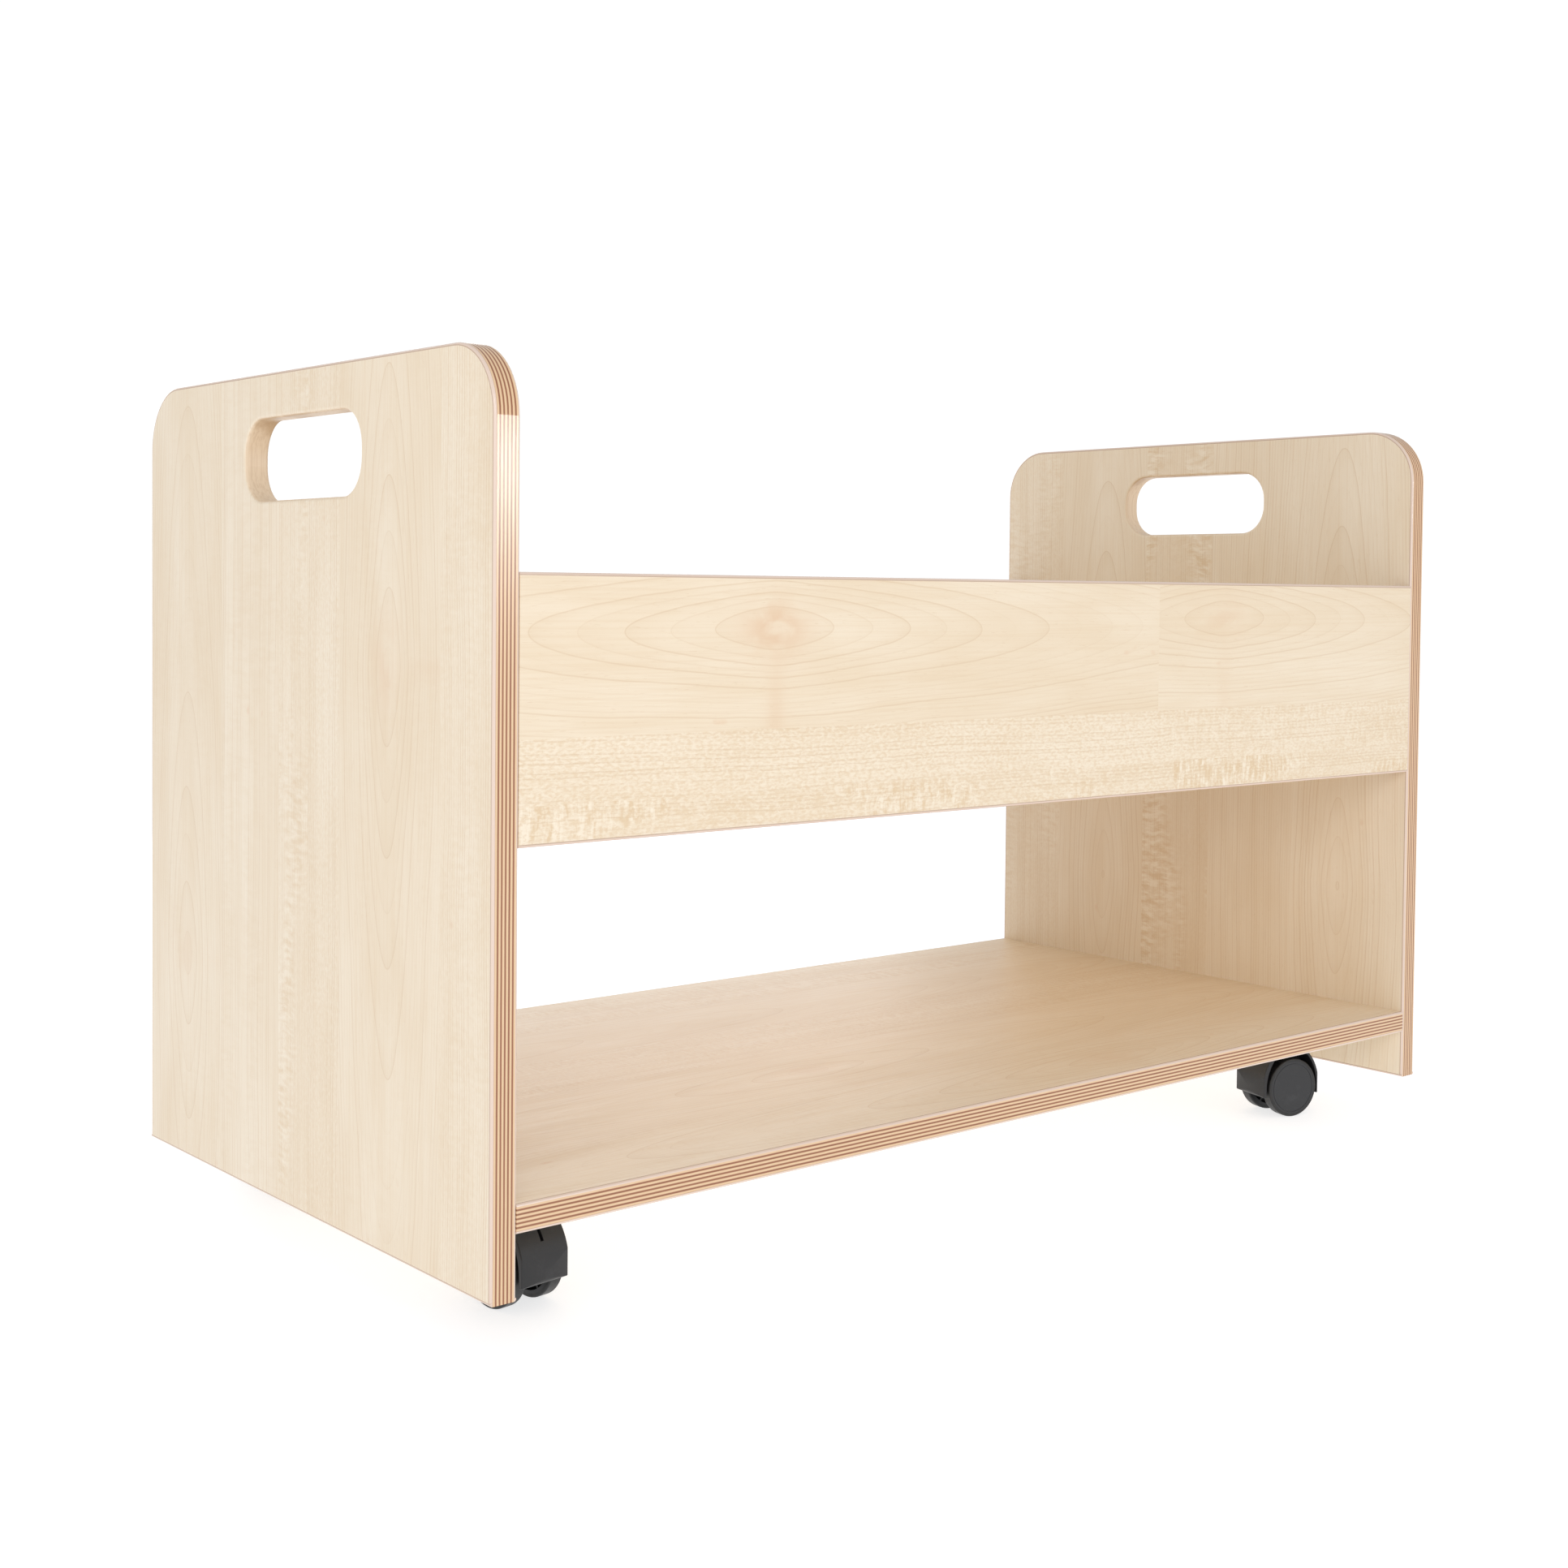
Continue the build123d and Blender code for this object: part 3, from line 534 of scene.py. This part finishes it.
hood_plastic = black_plastic("caster_hood_nylon", tone(33, 33, 35), tone(52, 52, 54), 900, 0.4)
wheel_plastic = black_plastic("caster_wheel_nylon", tone(40, 41, 44), tone(60, 61, 64), 1500, 0.36)
tyre_rubber = tread("caster_tread")
steel = zinc("zinc_plated")
for corner in ("front_left", "front_right", "rear_left", "rear_right"):
    base_name = corner + "_caster_"
    dress(hood_plastic, base_name + "hood")
    dress(wheel_plastic, base_name + "left_wheel", base_name + "right_wheel")
    dress(tyre_rubber, base_name + "left_tyre", base_name + "right_tyre")
    dress(steel, base_name + "plate", base_name + "kingpin", base_name + "axle")
dress(steel, "cam_housings", "cam_bolts", "caster_screws")
dress(beech("beech_dowels"), "wooden_dowels")
dress(cap_plastic("cap_beige"), "cam_cover_caps")


# ---- camera ----
CAMERA_PLACE = (-1.1157, -1.2576, 0.4495)
CAMERA_TURN = 40.22          # degrees to the right of the +Y axis
CAMERA_TILT = -1.79
CAMERA_ROLL = 0.55
LENS = 47.35                 # millimetres
SENSOR_WIDTH = 36
NEAREST_SEEN = 0.05
SHIFT_DOWN = -0.0817

camera_data = bpy.data.cameras.new("camera")
camera_data.lens = LENS
camera_data.sensor_width = SENSOR_WIDTH
camera_data.shift_y = SHIFT_DOWN
camera_data.clip_start = NEAREST_SEEN
camera = bpy.data.objects.new("camera", camera_data)
bpy.context.scene.collection.objects.link(camera)
turn = Matrix.Rotation(math.radians(-CAMERA_TURN), 4, "Z")
tilt = Matrix.Rotation(math.radians(90 + CAMERA_TILT), 4, "X")
roll = Matrix.Rotation(math.radians(CAMERA_ROLL), 4, "Z")
camera.matrix_world = Matrix.Translation(CAMERA_PLACE) @ turn @ tilt @ roll
bpy.context.scene.camera = camera


# ---- floor ----
FLOOR_HALF = 30.0
FLOOR_COLOUR = (0.38, 0.39, 0.42, 1.0)
FLOOR_GLOW = 0.74


def studio_floor():
    """A wide pale floor that fades into the white room."""
    half = FLOOR_HALF
    mesh = bpy.data.meshes.new("floor")
    corners = [(-half, -half, 0), (half, -half, 0), (half, half, 0), (-half, half, 0)]
    mesh.from_pydata(corners, [], [(0, 1, 2, 3)])
    floor = bpy.data.objects.new("floor", mesh)
    bpy.context.scene.collection.objects.link(floor)
    s = Shader("floor_white")
    s.surface.inputs["Emission Color"].default_value = WHITE
    mesh.materials.append(s.finish(FLOOR_COLOUR, 0.7, Emission_Strength=FLOOR_GLOW))


studio_floor()


# ---- light ----
ROOM_LIGHT = 0.64            # what the white room gives the object
BACKDROP_LIGHT = 1.05        # what the camera sees of the room


def softbox(name, place, aim, width, height, power):
    data = bpy.data.lights.new(name, "AREA")
    data.shape = "RECTANGLE"
    data.size = width
    data.size_y = height
    data.energy = power
    light = bpy.data.objects.new(name, data)
    bpy.context.scene.collection.objects.link(light)
    light.visible_camera = False
    light.location = place
    light.rotation_euler = (Vector(aim) - Vector(place)).to_track_quat("-Z", "Y").to_euler()


BAND_AIM = (-0.4, -0.24, 0.5)    # the upper part of the left end panel's front band
# two strips that the band reflects, a key light and a light behind
softbox("strip_high", (0.72, -2.1, 0.67), BAND_AIM, 0.26, 0.16, 3.4)
softbox("strip_low", (0.72, -2.1, 0.51), BAND_AIM, 0.26, 0.16, 0.8)
softbox("key_left", (-2.2, -1.7, 1.2), (0.2, 0.0, 0.15), 1.4, 1.0, 15.0)
softbox("rear_right", (0.75, 2.0, 0.8), (0.2, 0.0, 0.1), 2.2, 1.2, 12.0)

world = bpy.data.worlds.new("white_room")
world.use_nodes = True
tree = world.node_tree
background = tree.nodes["Background"]
background.inputs["Color"].default_value = WHITE
background.inputs["Strength"].default_value = ROOM_LIGHT
seen = tree.nodes.new("ShaderNodeBackground")
seen.inputs["Color"].default_value = WHITE
seen.inputs["Strength"].default_value = BACKDROP_LIGHT
path = tree.nodes.new("ShaderNodeLightPath")
choose = tree.nodes.new("ShaderNodeMixShader")
tree.links.new(path.outputs["Is Camera Ray"], choose.inputs[0])
tree.links.new(background.outputs[0], choose.inputs[1])
tree.links.new(seen.outputs[0], choose.inputs[2])
tree.links.new(choose.outputs[0], tree.nodes["World Output"].inputs["Surface"])
bpy.context.scene.world = world
bpy.context.scene.view_settings.view_transform = "Standard"
